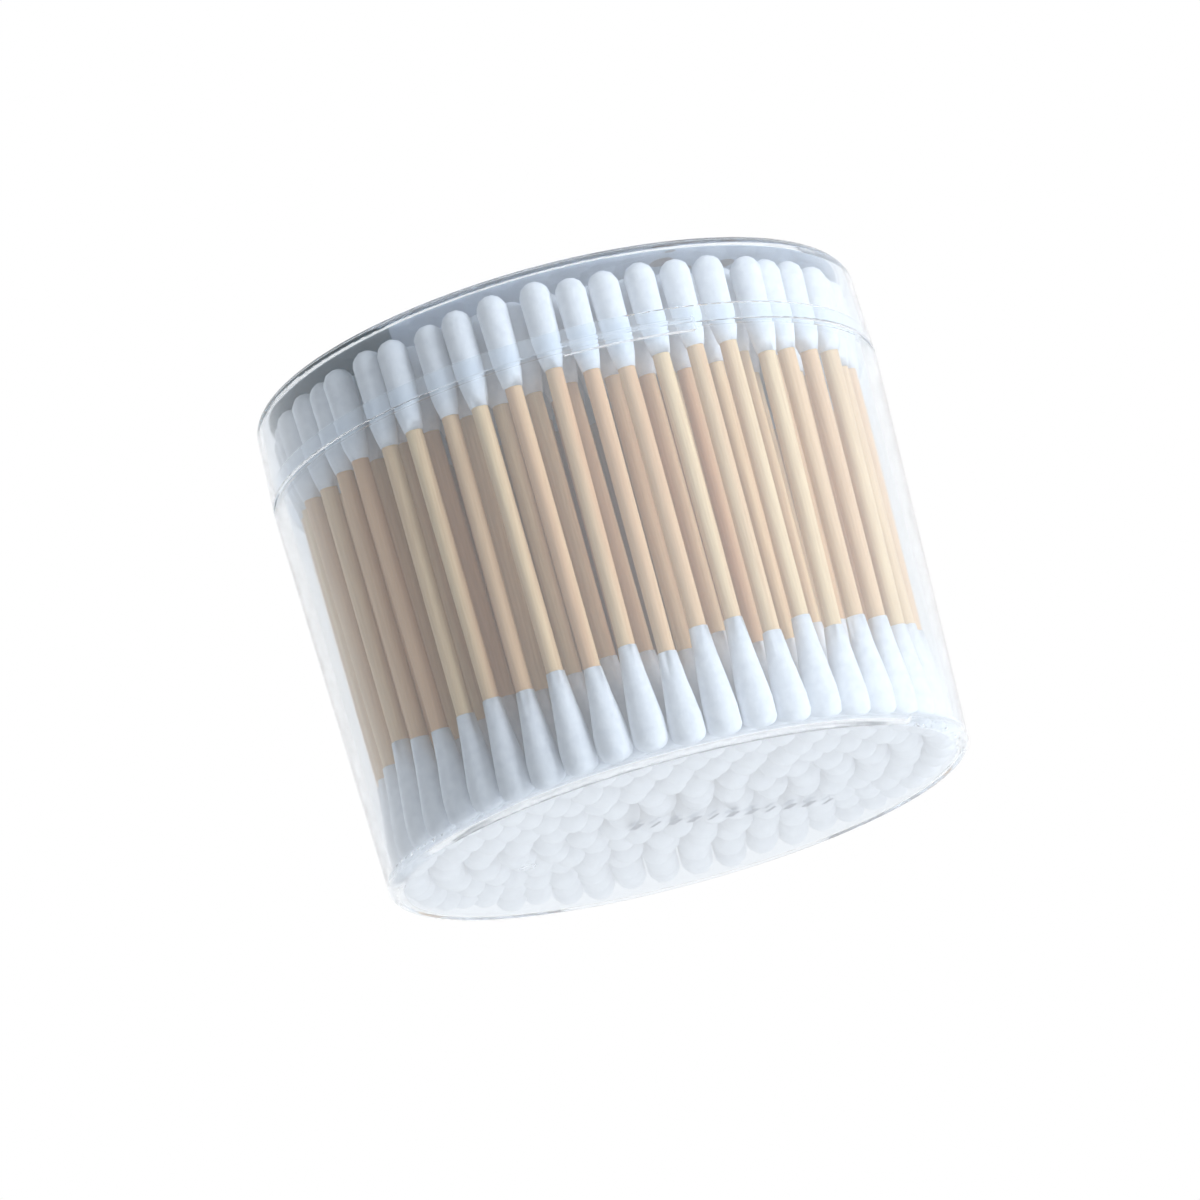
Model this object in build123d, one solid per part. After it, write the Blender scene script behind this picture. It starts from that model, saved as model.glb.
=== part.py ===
from build123d import *
import math
import os
import random

import numpy as np

# A round clear tub of double-ended cotton swabs with a lift-off lid.
# Millimetres. The origin is the centre of the tub's foot, +Z is up, and the lid's lift tab is at -Y.

# Tub: a drafted wall on a flat floor, with a shoulder and a thin neck that the lid goes over
foot_radius = 46.4
shoulder_radius = 49.0
shoulder_height = 64.2
neck_height = 3.6
neck_outer_radius = 47.9
neck_inner_radius = 47.2
floor_inner_radius = 45.2
floor_thickness = 1.3
foot_corner_round = 1.5
inner_corner_round = 1.2
rim_round = 0.25
mould_mark_radius = 1.5
mould_mark_line = 0.4
mould_mark_depth = 0.15
mould_mark_distance = 24.6
mould_mark_angle = 166.0

# Lid: a top plate and a skirt that comes down flush with the tub's wall
lid_gap = 0.6
lid_top_height = 78.8
lid_plate = 1.1
lid_top_radius = 48.5
skirt_wall = 0.8
lid_corner_round = 2.0
lid_inner_round = 1.2

# Lift tab on the skirt's lower rim
tab_angle = 24.0
tab_reach = 1.6
tab_low = 63.1
tab_high = 65.4
tab_wall_gap = 0.3

# Label: a round film on the lid's top
label_radius = 46.3
label_thickness = 0.2

# Swabs: a wooden stick with a cotton tip wound on each end
swab_length = 75.0
stick_radius = 1.3
stick_end_cover = 1.5
bore_clearance = 0.02
lower_tip_radius = 2.7
lower_tip_widest = 4.8
lower_tip_lengths = [15.2, 16.0, 16.8, 17.8]
lower_tip_taper = [(0.3, 2.3), (0.6, 1.85)]
upper_tip_radius = 2.4
upper_tip_widest = 4.0
upper_tip_lengths = [14.2, 15.0, 15.8]
upper_tip_taper = [(0.55, 2.25), (0.8, 1.9)]
tip_end_radius = 1.45
swab_gap = 0.14
floor_touch_gap = 0.05
highest_swab_lift = 0.9

# How the swabs stand: rings from the wall inwards, then settled so that none overlap
ring_counts = [48, 41, 34, 27, 21, 14, 9, 4]
settle_rounds = 1500
upper_jitter = 0.75
draw = random.Random(11)

neck_top = shoulder_height + neck_height
skirt_bottom = shoulder_height + lid_gap


def solid_of_revolution(corners, rounds):
    """Turns a closed (radius, height) outline about Z, after rounding the named corners."""
    face = make_face(Polyline(*corners, close=True))
    for point, radius in rounds:
        corner = face.vertices().sort_by_distance(Vector(*point))[0]
        face = fillet(corner, radius)
    return revolve(Plane.XZ * face, Axis.Z)


def inner_radius_at(height):
    """Radius of the tub's inside wall, which widens evenly from the floor to the neck's top."""
    share = (height - floor_thickness) / (neck_top - floor_thickness)
    return floor_inner_radius + share * (neck_inner_radius - floor_inner_radius)


def make_tub():
    corners = [
        (0, 0),
        (foot_radius, 0),
        (shoulder_radius, shoulder_height),
        (neck_outer_radius, shoulder_height),
        (neck_outer_radius, neck_top),
        (neck_inner_radius, neck_top),
        (floor_inner_radius, floor_thickness),
        (0, floor_thickness),
    ]
    rounds = [
        (corners[1], foot_corner_round),
        (corners[2], rim_round),
        (corners[4], rim_round),
        (corners[5], rim_round),
        (corners[6], inner_corner_round),
    ]
    tub = solid_of_revolution(corners, rounds)
    return tub - mould_mark()


def mould_mark():
    """The ring-shaped groove that the mould's gate leaves under the floor."""
    angle = math.radians(mould_mark_angle)
    place = Pos(mould_mark_distance * math.cos(angle), mould_mark_distance * math.sin(angle), 0)
    ring = Circle(mould_mark_radius) - Circle(mould_mark_radius - mould_mark_line)
    return place * extrude(ring, mould_mark_depth)


def make_lid():
    skirt_inner_radius = shoulder_radius - skirt_wall
    ceiling = lid_top_height - lid_plate
    corners = [
        (skirt_inner_radius, skirt_bottom),
        (shoulder_radius, skirt_bottom),
        (lid_top_radius, lid_top_height),
        (0, lid_top_height),
        (0, ceiling),
        (lid_top_radius - skirt_wall, ceiling),
    ]
    rounds = [
        (corners[0], 0.2),
        (corners[1], 0.2),
        (corners[2], lid_corner_round),
        (corners[5], lid_inner_round),
    ]
    return solid_of_revolution(corners, rounds) + lift_tab()


def lift_tab():
    """A ledge on the skirt's lower rim that hangs in front of the tub's wall for a fingernail."""
    inside = shoulder_radius + tab_wall_gap
    outside = shoulder_radius + tab_reach
    rooted = shoulder_radius - skirt_wall / 2
    root_low = skirt_bottom + 0.3
    outline = Polyline(
        (inside, tab_low),
        (outside, tab_low),
        (outside, tab_high - 0.5),
        (outside - 0.5, tab_high),
        (rooted, tab_high),
        (rooted, root_low),
        (inside, root_low),
        close=True,
    )
    tab = revolve(Plane.XZ * make_face(outline), Axis.Z, tab_angle)
    return Rot(0, 0, -90 - tab_angle / 2) * tab


def make_label():
    disc = Pos(0, 0, lid_top_height) * Cylinder(
        label_radius, label_thickness, align=(Align.CENTER, Align.CENTER, Align.MIN)
    )
    return disc


def make_tip(radius, widest_end, taper, length):
    """A cotton tip with its nose at the origin, pointing down, and a blind bore for the stick.

    A round nose runs into straight sides up to widest_end. From there each taper step gives a
    share of the way to the stick and the radius at it.
    """
    nose = CenterArc((0, radius), radius, -90, 90)
    bore = stick_radius + bore_clearance
    rest = Polyline(
        (radius, radius),
        (radius - 0.02, widest_end),
        *[(step_radius, widest_end + share * (length - widest_end)) for share, step_radius in taper],
        (tip_end_radius, length),
        (bore, length),
        (bore, stick_end_cover),
        (0, stick_end_cover),
        (0, 0),
    )
    return revolve(Plane.XZ * make_face([nose, rest]), Axis.Z)


def make_lower_tip(length):
    """Teardrop: widest near the nose, then a long taper to the stick."""
    return make_tip(lower_tip_radius, lower_tip_widest, lower_tip_taper, length)


def make_upper_tip(length):
    """Bullet: nearly straight sides, then a short taper to the stick."""
    return make_tip(upper_tip_radius, upper_tip_widest, upper_tip_taper, length)


def make_stick():
    length = swab_length - 2 * (stick_end_cover + bore_clearance)
    align = (Align.CENTER, Align.CENTER, Align.MIN)
    return Cylinder(stick_radius, length, align=align)


def ring_start(limit, spacing):
    """Even rings from the limit radius inwards, each turned half a step against the last."""
    points = []
    step = (limit - spacing * 0.8) / (len(ring_counts) - 1)
    for ring, count in enumerate(ring_counts):
        radius = limit - ring * step
        for i in range(count):
            angle = 2 * math.pi * (i + 0.5 * (ring % 2)) / count
            points.append((radius * math.cos(angle), radius * math.sin(angle)))
    return np.array(points)


def settle(points, spacing, limit):
    """Pushes points apart until none are nearer than the spacing or outside the limit radius."""
    for _ in range(settle_rounds):
        apart = points[:, None, :] - points[None, :, :]
        distance = np.linalg.norm(apart, axis=2)
        np.fill_diagonal(distance, np.inf)
        push = np.clip(spacing - distance, 0, None) / distance / 2
        points = points + (apart * push[:, :, None]).sum(axis=1)
        radius = np.linalg.norm(points, axis=1, keepdims=True)
        points = points * np.minimum(1, limit / np.maximum(radius, 1e-9))
    return points


def swab_places():
    """Nose point and direction of each swab, outer ring first."""
    low = floor_thickness + lower_tip_widest
    high = floor_thickness + swab_length - 2 * upper_tip_widest
    low_spacing = 2 * lower_tip_radius + swab_gap
    low_limit = inner_radius_at(low) - lower_tip_radius - swab_gap
    high_spacing = 2 * upper_tip_radius + 2 * swab_gap
    high_limit = neck_inner_radius - upper_tip_radius - 2 * swab_gap
    low_points = settle(ring_start(low_limit, low_spacing), low_spacing, low_limit)
    jitter = [[draw.uniform(-1, 1) * upper_jitter for _ in "xy"] for _ in low_points]
    high_points = settle(spread_to(low_points, low_limit, high_limit) + jitter, high_spacing, high_limit)
    places = []
    for low_point, high_point in zip(low_points, high_points):
        slope = (high_point - low_point) / (high - low)
        nose_height = floor_thickness + floor_touch_gap + highest_swab_lift * draw.random() ** 3
        nose = low_point + slope * (nose_height - low)
        places.append(Plane(origin=(*nose, nose_height), z_dir=(*slope, 1)))
    return places


def spread_to(points, old_limit, new_limit):
    """Scales every point out from the axis in proportion, so the old limit falls on the new one."""
    return points * (new_limit / old_limit)


def write_node(name, shapes):
    export_step(Compound(children=shapes) if len(shapes) > 1 else shapes[0], f"parts/{name}.step")


def write_swabs():
    stick = make_stick()
    lower_tips = [make_lower_tip(length) for length in lower_tip_lengths]
    upper_tips = [make_upper_tip(length) for length in upper_tip_lengths]
    stick_shift = Pos(0, 0, stick_end_cover + bore_clearance)
    upside_down = Pos(0, 0, swab_length) * Rot(180, 0, 0)
    places = iter(swab_places())
    for ring, count in enumerate(ring_counts, start=1):
        sticks, lowers, uppers = [], [], []
        for _ in range(count):
            at = next(places).location
            sticks.append(at * stick_shift * stick)
            lowers.append(at * draw.choice(lower_tips))
            uppers.append(at * upside_down * draw.choice(upper_tips))
        write_node(f"swab_sticks_ring_{ring}", sticks)
        write_node(f"lower_tips_ring_{ring}", lowers)
        write_node(f"upper_tips_ring_{ring}", uppers)


write_node("tub", [make_tub()])
write_node("lid", [make_lid()])
write_node("lid_label", [make_label()])
write_swabs()
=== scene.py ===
import math

import bpy
import mathutils
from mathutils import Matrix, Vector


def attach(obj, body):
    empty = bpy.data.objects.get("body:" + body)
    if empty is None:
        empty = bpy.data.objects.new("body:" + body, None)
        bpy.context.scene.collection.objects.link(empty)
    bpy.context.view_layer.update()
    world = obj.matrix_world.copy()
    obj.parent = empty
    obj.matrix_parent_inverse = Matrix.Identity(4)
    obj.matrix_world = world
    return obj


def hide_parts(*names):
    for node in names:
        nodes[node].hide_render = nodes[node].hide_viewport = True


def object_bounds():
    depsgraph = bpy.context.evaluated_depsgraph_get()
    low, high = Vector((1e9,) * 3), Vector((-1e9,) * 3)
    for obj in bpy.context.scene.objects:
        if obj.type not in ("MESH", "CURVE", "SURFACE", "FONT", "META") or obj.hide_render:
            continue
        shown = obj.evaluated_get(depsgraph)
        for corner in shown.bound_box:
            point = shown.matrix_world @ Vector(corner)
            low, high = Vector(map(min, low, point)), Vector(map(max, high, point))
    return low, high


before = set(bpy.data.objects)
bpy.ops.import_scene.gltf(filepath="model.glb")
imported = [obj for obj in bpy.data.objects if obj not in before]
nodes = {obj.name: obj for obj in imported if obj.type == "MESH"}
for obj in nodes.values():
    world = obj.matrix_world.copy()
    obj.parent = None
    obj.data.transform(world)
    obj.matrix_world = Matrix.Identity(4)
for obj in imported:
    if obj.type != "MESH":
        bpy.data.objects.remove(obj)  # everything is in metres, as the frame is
cadLow, cadHigh = [list(corner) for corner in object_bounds()]
mm = 0.001
rings = range(1, 9)

viewTurn = {
    "side": 13.5,  # degrees the camera stands left of the lift tab
    "rise": -14.6,  # degrees, below the tub
    "roll": 15.2,  # degrees, the tub's top leans left
    "distance": 980 * mm,
    "lens": 187.9,
    "aimRight": -2.6 * mm,
    "aimUp": -2.0 * mm,
}


def clearSelection():
    if bpy.context.object and bpy.context.object.mode != "OBJECT":
        bpy.ops.object.mode_set(mode="OBJECT")
    bpy.ops.object.select_all(action="DESELECT")


def pickOnly(thing):
    clearSelection()
    thing.select_set(True)
    bpy.context.view_layer.objects.active = thing


def newMaterial(name):
    material = bpy.data.materials.new(name)
    material.use_nodes = True
    tree = material.node_tree
    shader = next(node for node in tree.nodes if node.type == "BSDF_PRINCIPLED")
    return material, tree, shader


def setMaterial(thing, material):
    if not thing.data.materials:
        thing.data.materials.append(material)
    for index in range(len(thing.data.materials)):
        thing.data.materials[index] = material


def objectCoords(tree, scale=(1, 1, 1), turn=0.0):
    coords = tree.nodes.new("ShaderNodeTexCoord")
    mapping = tree.nodes.new("ShaderNodeMapping")
    mapping.inputs["Scale"].default_value = scale
    mapping.inputs["Rotation"].default_value = (0, 0, turn)
    tree.links.new(coords.outputs["Object"], mapping.inputs["Vector"])
    return mapping.outputs["Vector"]


def noise(tree, vector, scale, detail=4.0, rough=0.55):
    texture = tree.nodes.new("ShaderNodeTexNoise")
    texture.inputs["Scale"].default_value = scale
    texture.inputs["Detail"].default_value = detail
    texture.inputs["Roughness"].default_value = rough
    tree.links.new(vector, texture.inputs["Vector"])
    return texture.outputs["Fac"]


def ramp(tree, value, stops):
    node = tree.nodes.new("ShaderNodeValToRGB")
    tree.links.new(value, node.inputs["Fac"])
    elements = node.color_ramp.elements
    while len(elements) < len(stops):
        elements.new(0.5)
    for element, (place, colour) in zip(elements, stops):
        element.position = place
        element.color = (*colour, 1)
    return node.outputs["Color"]


def maths(tree, kind, first, second):
    node = tree.nodes.new("ShaderNodeMath")
    node.operation = kind
    for socket, value in zip(node.inputs, (first, second)):
        if isinstance(value, (int, float)):
            socket.default_value = value
        else:
            tree.links.new(value, socket)
    return node.outputs["Value"]


def mixColour(tree, factor, first, second):
    node = tree.nodes.new("ShaderNodeMix")
    node.data_type = "RGBA"
    sockets = [s for s in node.inputs if s.type == "RGBA"]
    for socket, value in zip(sockets, (first, second)):
        if isinstance(value, tuple):
            socket.default_value = (*value, 1)
        else:
            tree.links.new(value, socket)
    if isinstance(factor, (int, float)):
        node.inputs["Factor"].default_value = factor
    else:
        tree.links.new(factor, node.inputs["Factor"])
    return next(s for s in node.outputs if s.type == "RGBA")


def bump(tree, shader, height, strength, distance):
    node = tree.nodes.new("ShaderNodeBump")
    node.inputs["Strength"].default_value = strength
    node.inputs["Distance"].default_value = distance
    tree.links.new(height, node.inputs["Height"])
    tree.links.new(node.outputs["Normal"], shader.inputs["Normal"])


clearPlastic = {
    "tint": (0.94, 0.97, 1.0),
    "ior": 1.3,
    "clear": 0.9,
    "roughness": 0.08,
    "moulding": 0.03,
    "mostMirrors": 2.5,  # a ray caught in a rim for longer goes straight out
    "mostTurns": 7.5,
}


def makeClearPlastic():
    material, tree, shader = newMaterial("clearPlastic")
    shader.inputs["Base Color"].default_value = (*clearPlastic["tint"], 1)
    shader.inputs["IOR"].default_value = clearPlastic["ior"]
    shader.inputs["Transmission Weight"].default_value = clearPlastic["clear"]
    vector = objectCoords(tree)
    haze = noise(tree, vector, 120)
    roughness = maths(tree, "MULTIPLY", haze, clearPlastic["roughness"])
    tree.links.new(roughness, shader.inputs["Roughness"])
    bump(tree, shader, noise(tree, vector, 60, 2.0), clearPlastic["moulding"], 0.2 * mm)
    output = next(node for node in tree.nodes if node.type == "OUTPUT_MATERIAL")
    light = tree.nodes.new("ShaderNodeLightPath")  # light for the swabs goes straight through
    straight = maths(tree, "MAXIMUM", light.outputs["Is Shadow Ray"], light.outputs["Is Diffuse Ray"])
    mirrored = maths(tree, "GREATER_THAN", light.outputs["Glossy Depth"], clearPlastic["mostMirrors"])
    turned = maths(tree, "GREATER_THAN", light.outputs["Ray Depth"], clearPlastic["mostTurns"])
    straight = maths(tree, "MAXIMUM", straight, maths(tree, "MAXIMUM", mirrored, turned))
    clear = tree.nodes.new("ShaderNodeBsdfTransparent")
    clear.inputs["Color"].default_value = (*clearPlastic["tint"], 1)
    mix = tree.nodes.new("ShaderNodeMixShader")
    tree.links.new(straight, mix.inputs["Fac"])
    tree.links.new(shader.outputs["BSDF"], mix.inputs[1])
    tree.links.new(clear.outputs["BSDF"], mix.inputs[2])
    tree.links.new(mix.outputs["Shader"], output.inputs["Surface"])
    return material


wood = {"pale": (0.92, 0.70, 0.43), "warm": (0.82, 0.52, 0.31), "fibre": (0.58, 0.34, 0.19)}


def makeWood():
    material, tree, shader = newMaterial("paleWood")
    perStick = noise(tree, objectCoords(tree, (1, 1, 0.02)), 160, 1.0)
    grain = noise(tree, objectCoords(tree, (1, 1, 0.035)), 2600, 6.0, 0.65)
    base = ramp(tree, perStick, [(0.35, wood["warm"]), (0.62, wood["pale"])])
    streaks = ramp(tree, grain, [(0.34, (1, 1, 1)), (0.62, (0, 0, 0))])
    colour = mixColour(tree, maths(tree, "MULTIPLY", streaks, 0.35), base, wood["fibre"])
    tree.links.new(colour, shader.inputs["Base Color"])
    tree.links.new(maths(tree, "ADD", maths(tree, "MULTIPLY", grain, 0.2), 0.5), shader.inputs["Roughness"])
    bump(tree, shader, grain, 0.35, 0.12 * mm)
    return material


cotton = {"white": (0.92, 0.935, 0.96), "shade": (0.82, 0.84, 0.88), "sheen": 0.1}


def makeCotton():
    material, tree, shader = newMaterial("woundCotton")
    vector = objectCoords(tree)
    tufts = noise(tree, vector, 650, 5.0, 0.6)
    fibres = noise(tree, objectCoords(tree, (1, 1, 2.2)), 3800, 6.0, 0.7)
    colour = ramp(tree, tufts, [(0.3, cotton["shade"]), (0.6, cotton["white"])])
    tree.links.new(colour, shader.inputs["Base Color"])
    tree.links.new(maths(tree, "ADD", maths(tree, "MULTIPLY", fibres, 0.15), 0.85), shader.inputs["Roughness"])
    shader.inputs["Sheen Weight"].default_value = cotton["sheen"]
    shader.inputs["Sheen Roughness"].default_value = 0.6
    bump(tree, shader, maths(tree, "ADD", tufts, maths(tree, "MULTIPLY", fibres, 0.5)), 0.5, 0.25 * mm)
    return material


label = {
    "pale": (0.87, 0.91, 0.97),
    "paleShade": (0.82, 0.86, 0.92),
    "slate": (0.08, 0.20, 0.26),
    "brown": (0.48, 0.38, 0.33),
    "slateEdge": -23.2 * mm,  # a straight edge, across the view
    "passes": 0.65,  # how much light the film lets through
    "dotScale": 150,
    "dotSize": 0.28,
    "dotZone": (8 * mm, 36 * mm),
}


def makeLabel():
    material, tree, shader = newMaterial("labelPrint")
    vector = objectCoords(tree, turn=math.radians(viewTurn["side"]))
    split = tree.nodes.new("ShaderNodeSeparateXYZ")
    tree.links.new(vector, split.inputs["Vector"])
    isSlate = maths(tree, "LESS_THAN", split.outputs["X"], label["slateEdge"])
    cells = tree.nodes.new("ShaderNodeTexVoronoi")
    cells.inputs["Scale"].default_value = label["dotScale"]
    tree.links.new(vector, cells.inputs["Vector"])
    dots = maths(tree, "LESS_THAN", cells.outputs["Distance"], label["dotSize"])
    low, high = label["dotZone"]
    inZone = maths(tree, "GREATER_THAN", split.outputs["X"], low)
    inZone = maths(tree, "MULTIPLY", inZone, maths(tree, "LESS_THAN", split.outputs["X"], high))
    dots = maths(tree, "MULTIPLY", dots, inZone)
    paper = ramp(tree, noise(tree, vector, 900), [(0.3, label["paleShade"]), (0.7, label["pale"])])
    colour = mixColour(tree, dots, paper, label["brown"])
    colour = mixColour(tree, isSlate, colour, label["slate"])
    tree.links.new(colour, shader.inputs["Base Color"])
    shader.inputs["Transmission Weight"].default_value = label["passes"]
    shader.inputs["Roughness"].default_value = 0.8
    bump(tree, shader, noise(tree, vector, 1500), 0.05, 0.05 * mm)
    return material


# the cotton tips: each group is softened and made fluffy from the frame's own tips
tips = {"facesKept": 0.12, "fluff": 0.14 * mm, "tuftSize": 1.1 * mm}


def makeTips(nodeName, material):
    clearSelection()
    tipsPiece = nodes[nodeName].copy()
    tipsPiece.data = nodes[nodeName].data.copy()
    tipsPiece.name = nodeName + "_cotton"
    for key in list(tipsPiece.keys()):
        del tipsPiece[key]
    tipsPiece.parent = None
    bpy.context.scene.collection.objects.link(tipsPiece)
    pickOnly(tipsPiece)
    bpy.ops.object.mode_set(mode="EDIT")
    bpy.ops.mesh.select_all(action="SELECT")
    bpy.ops.mesh.remove_doubles(threshold=0.01 * mm)
    bpy.ops.object.mode_set(mode="OBJECT")
    thinner = tipsPiece.modifiers.new("thinner", "DECIMATE")
    thinner.ratio = tips["facesKept"]
    bpy.ops.object.modifier_apply(modifier="thinner")
    tufts = bpy.data.textures.get("tufts") or bpy.data.textures.new("tufts", "CLOUDS")
    tufts.noise_scale = tips["tuftSize"]
    fluff = tipsPiece.modifiers.new("fluff", "DISPLACE")
    fluff.texture = tufts
    fluff.texture_coords = "LOCAL"
    fluff.strength = tips["fluff"]
    fluff.mid_level = 0.75  # mostly inwards, so that the tips stay in their space
    bpy.ops.object.modifier_apply(modifier="fluff")
    bpy.ops.object.shade_smooth()
    setMaterial(tipsPiece, material)
    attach(tipsPiece, "tub")
    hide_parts(nodeName)
    return tipsPiece


# a printed row of plain dashes under the floor, where a date code would be
dashes = {"count": 11, "pitch": 3.5 * mm, "length": 1.5 * mm, "width": 3.0 * mm, "thick": 0.04 * mm,
          "middle": (8.4 * mm, 0.0), "turn": 17.8, "height": 0.03 * mm}


def makeDashes():
    material, tree, shader = newMaterial("greyInk")
    spots = noise(tree, objectCoords(tree), 2500)
    tree.links.new(ramp(tree, spots, [(0.35, (0.26, 0.28, 0.33)), (0.7, (0.52, 0.55, 0.60))]),
                   shader.inputs["Base Color"])
    shader.inputs["Roughness"].default_value = 0.7
    turn = math.radians(dashes["turn"])
    made = []
    for index in range(dashes["count"]):
        along = (index - (dashes["count"] - 1) / 2) * dashes["pitch"]
        place = (dashes["middle"][0] + along * math.cos(turn), dashes["middle"][1] + along * math.sin(turn),
                 dashes["height"])
        clearSelection()
        bpy.ops.mesh.primitive_cube_add(size=1, location=place, rotation=(0, 0, turn))
        dash = bpy.context.object
        dash.scale = (dashes["length"] * (0.5 if index % 3 == 1 else 1), dashes["width"], dashes["thick"])
        bpy.ops.object.transform_apply(location=True, rotation=True, scale=True)
        edge = dash.modifiers.new("edge", "BEVEL")
        edge.width = dashes["thick"] * 0.4
        bpy.ops.object.modifier_apply(modifier="edge")
        made.append(dash)
    clearSelection()
    for dash in made:
        dash.select_set(True)
    bpy.context.view_layer.objects.active = made[0]
    bpy.ops.object.join()
    row = bpy.context.object
    row.name = "floor_dashes"
    setMaterial(row, material)
    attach(row, "tub")


stageLook = {
    "floorSize": 3.0,
    "floor": (0.92, 0.92, 0.93),
    "world": 0.44,
    "sky": (0.96, 0.98, 1.0),
    "floorGlow": 0.3,
    "key": {"place": (0.66, -0.74, 0.3), "size": 0.6, "power": 8.6},
    "back": {"place": (-0.5, 0.8, 0.35), "size": 0.6, "power": 5.0},
    "below": {"place": (0.15, -0.1, -0.6), "size": 0.6, "power": 2.6},
}


def makeStage():
    clearSelection()
    bpy.ops.mesh.primitive_plane_add(size=stageLook["floorSize"], location=(0, 0, -0.1 * mm))
    floor = bpy.context.object
    floor.name = "floor"
    floor.visible_diffuse = False  # light from below still reaches the tub's foot
    floor.visible_glossy = False
    floor.visible_transmission = False
    floor.visible_shadow = False
    material, tree, shader = newMaterial("floorPaint")
    shader.inputs["Base Color"].default_value = (*stageLook["floor"], 1)
    shader.inputs["Roughness"].default_value = 0.9
    shader.inputs["Emission Color"].default_value = (1, 1, 1, 1)
    seen = tree.nodes.new("ShaderNodeLightPath").outputs["Is Camera Ray"]
    tree.links.new(maths(tree, "MULTIPLY", seen, stageLook["floorGlow"]), shader.inputs["Emission Strength"])
    output = next(node for node in tree.nodes if node.type == "OUTPUT_MATERIAL")
    side = tree.nodes.new("ShaderNodeNewGeometry")
    clear = tree.nodes.new("ShaderNodeBsdfTransparent")
    mix = tree.nodes.new("ShaderNodeMixShader")
    tree.links.new(side.outputs["Backfacing"], mix.inputs["Fac"])
    tree.links.new(shader.outputs["BSDF"], mix.inputs[1])
    tree.links.new(clear.outputs["BSDF"], mix.inputs[2])
    tree.links.new(mix.outputs["Shader"], output.inputs["Surface"])
    setMaterial(floor, material)

    world = bpy.data.worlds.new("studio")
    world.use_nodes = True
    bpy.context.scene.world = world
    tree = world.node_tree
    background = next(node for node in tree.nodes if node.type == "BACKGROUND")
    light = tree.nodes.new("ShaderNodeLightPath")
    seen = maths(tree, "MAXIMUM", light.outputs["Is Camera Ray"], light.outputs["Is Transmission Ray"])
    seen = maths(tree, "MAXIMUM", seen, light.outputs["Is Glossy Ray"])
    strength = maths(tree, "ADD", maths(tree, "MULTIPLY", seen, 1 - stageLook["world"]), stageLook["world"])
    tree.links.new(strength, background.inputs["Strength"])
    tree.links.new(mixColour(tree, seen, stageLook["sky"], (1.0, 1.0, 1.0)), background.inputs["Color"])


def makeLamp(name):
    look = stageLook[name]
    place = look["place"]
    data = bpy.data.lights.new(name, "AREA")
    data.size = look["size"]
    data.energy = look["power"]
    lamp = bpy.data.objects.new(name, data)
    bpy.context.scene.collection.objects.link(lamp)
    lamp.location = place
    lamp.visible_glossy = False  # soft light, with no bright bar on the plastic
    lamp.visible_transmission = False
    aim = mathutils.Vector((0, 0, 0.04)) - mathutils.Vector(place)
    lamp.rotation_euler = aim.to_track_quat("-Z", "Y").to_euler()


def makeCamera():
    side, rise = math.radians(viewTurn["side"]), math.radians(viewTurn["rise"])
    out = mathutils.Vector((-math.sin(side) * math.cos(rise), -math.cos(side) * math.cos(rise), math.sin(rise)))
    turn = (-out).to_track_quat("-Z", "Y").to_matrix().to_4x4()
    turn = turn @ mathutils.Matrix.Rotation(-math.radians(viewTurn["roll"]), 4, "Z")
    right, up = turn.col[0].to_3d(), turn.col[1].to_3d()
    middle = mathutils.Vector((0, 0, cadHigh[2] / 2))
    place = middle + out * viewTurn["distance"] + right * viewTurn["aimRight"] + up * viewTurn["aimUp"]
    camera = bpy.data.objects.new("camera", bpy.data.cameras.new("camera"))
    camera.data.lens = viewTurn["lens"]
    camera.data.sensor_width = 36
    camera.matrix_world = mathutils.Matrix.Translation(place) @ turn
    bpy.context.scene.collection.objects.link(camera)
    bpy.context.scene.camera = camera


print("camera and stage")
makeCamera()
makeStage()
makeLamp("key")
makeLamp("back")
makeLamp("below")

print("plastic, label and sticks")
plasticMaterial = makeClearPlastic()
setMaterial(nodes["tub"], plasticMaterial)
setMaterial(nodes["lid"], plasticMaterial)
setMaterial(nodes["lid_label"], makeLabel())
woodMaterial = makeWood()
for ring in rings:
    setMaterial(nodes[f"swab_sticks_ring_{ring}"], woodMaterial)

print("cotton tips")
cottonMaterial = makeCotton()
for ring in rings:
    makeTips(f"lower_tips_ring_{ring}", cottonMaterial)
    makeTips(f"upper_tips_ring_{ring}", cottonMaterial)

print("floor dashes")
makeDashes()

bpy.context.scene.view_settings.view_transform = "Standard"
